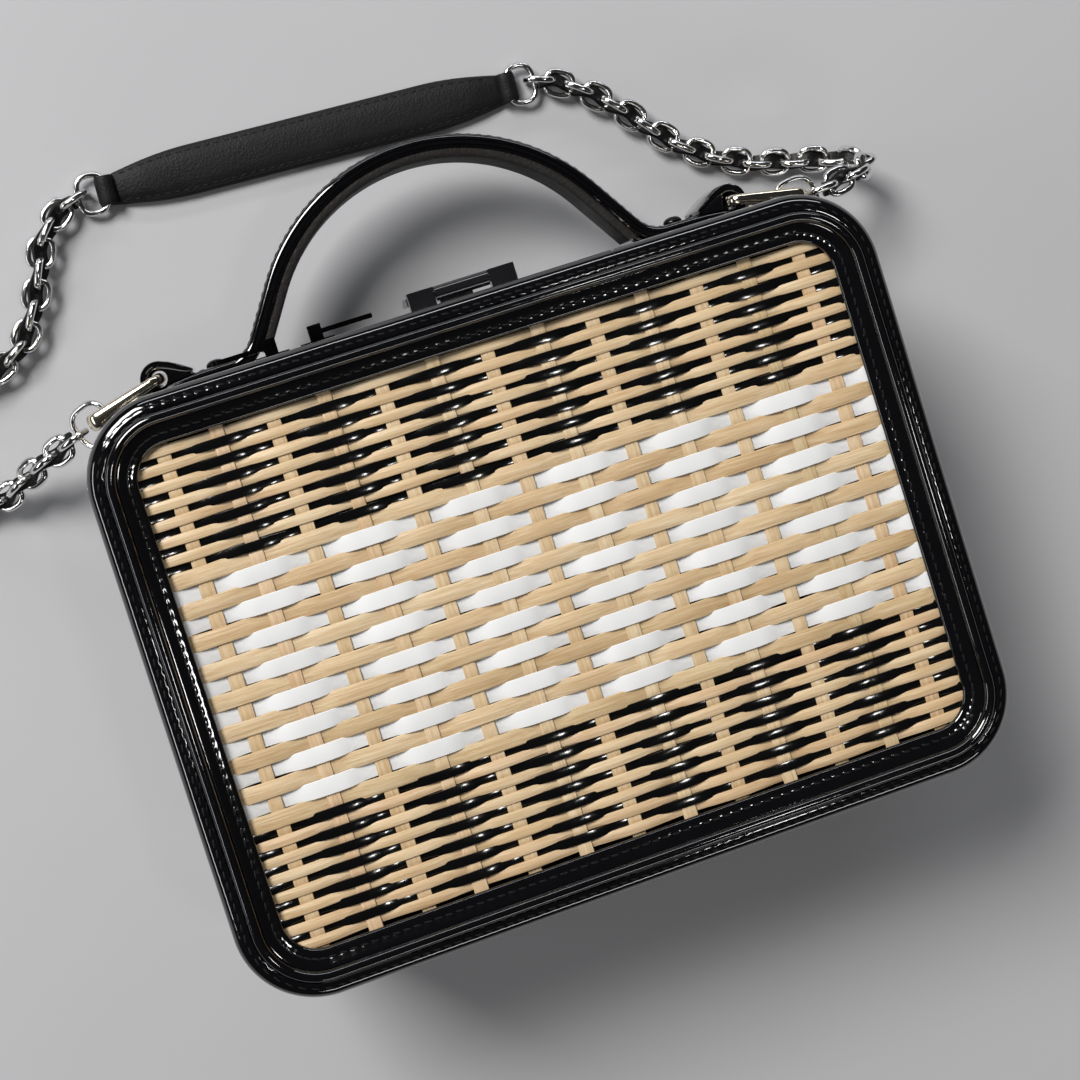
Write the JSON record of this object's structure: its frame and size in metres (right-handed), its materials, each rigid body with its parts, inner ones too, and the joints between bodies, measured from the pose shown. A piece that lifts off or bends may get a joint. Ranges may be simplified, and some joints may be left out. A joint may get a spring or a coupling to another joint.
{
  "type": "vanity case",
  "caption": "Flat box-shaped vanity case with woven rattan panels in stitched patent frames, a zip round the edge, a hinged clasp, an arched top handle and a chain shoulder strap.",
  "frame": {"origin": "centre of the case's back, on the surface that it lies on", "axes": "+X along the case's long side, +Y from its base towards its handle, +Z from its back to its woven front"},
  "size_m": [0.2838, 0.2176, 0.0813],
  "materials": {
    "patent": "glossy patent leather, stitched",
    "black_leather": "matte grained leather",
    "handle_lining": "matte grained leather",
    "lining": "plain woven cloth",
    "rattan": "satin varnished rattan",
    "black_strip": "glossy patent strip",
    "white_strip": "smooth white leather strip",
    "zip": "black tape with pale gold teeth",
    "pale_gold": "polished pale gold plating",
    "dark_metal": "dark polished plating",
    "silver": "polished silver plating",
    "inlay": "glossy black inlay"
  },
  "bodies": {
    "body": {"body_wall": "patent", "body_frame": "patent", "body_lining": "lining", "body_reeds": "rattan", "body_stakes": "rattan", "body_black_strips": "black_strip", "body_white_strips": "white_strip", "zip_half_body": "zip", "hinge_roll": "black_leather", "handle_strap": "patent", "handle_lining": "handle_lining", "handle_studs": "silver", "jump_rings": "silver", "chain_left": "silver", "chain_right": "silver", "shoulder_pad": "black_leather", "pad_rings": "silver", "clasp_catch": "silver"},
    "lid": {"lid_wall": "patent", "lid_frame": "patent", "lid_lining": "lining", "lid_reeds": "rattan", "lid_stakes": "rattan", "lid_black_strips": "black_strip", "lid_white_strips": "white_strip", "zip_half_lid": "zip", "hinge_leaf": "black_leather", "clasp_hinge": "silver", "clasp_pin": "silver"},
    "flap": {"clasp_flap": "silver", "clasp_inlay": "inlay"},
    "slider_left": {"zip_slider_left": "dark_metal"},
    "slider_right": {"zip_slider_right": "dark_metal"},
    "pull_left": {"zip_pull_left": "dark_metal"},
    "pull_right": {"zip_pull_right": "dark_metal"},
    "ring_left": {"ring_left": "pale_gold"},
    "ring_right": {"ring_right": "pale_gold"}
  },
  "joints": [
    {"name": "lid_open", "type": "hinge", "parent": "body", "child": "lid", "pos_m": [0, -0.0752, 0.052], "axis": [1, 0, 0], "range_deg": [0, 100]},
    {"name": "clasp_open", "type": "hinge", "parent": "lid", "child": "flap", "pos_m": [0, 0.0792, 0.0645], "axis": [1, 0, 0], "range_deg": [0, 100]},
    {"name": "slider_left_slide", "type": "slide", "parent": "body", "child": "slider_left", "axis": [1, 0, 0], "range_m": [-0.026, 0]},
    {"name": "slider_right_slide", "type": "slide", "parent": "body", "child": "slider_right", "axis": [1, 0, 0], "range_m": [0, 0.008]},
    {"name": "pull_left_turn", "type": "hinge", "parent": "slider_left", "child": "pull_left", "pos_m": [-0.05, 0.0791, 0.052], "axis": [0, 0, -1], "range_deg": [0, 110]},
    {"name": "pull_right_turn", "type": "hinge", "parent": "slider_right", "child": "pull_right", "pos_m": [-0.038, 0.0791, 0.052], "axis": [0, 0, 1], "range_deg": [0, 110]},
    {"name": "ring_left_swing", "type": "hinge", "parent": "body", "child": "ring_left", "pos_m": [-0.08, 0.08, 0.026], "axis": [0, 0, 1], "range_deg": [-5, 5]},
    {"name": "ring_right_swing", "type": "hinge", "parent": "body", "child": "ring_right", "pos_m": [0.08, 0.08, 0.026], "axis": [0, 0, 1], "range_deg": [-5, 5]}
  ]
}
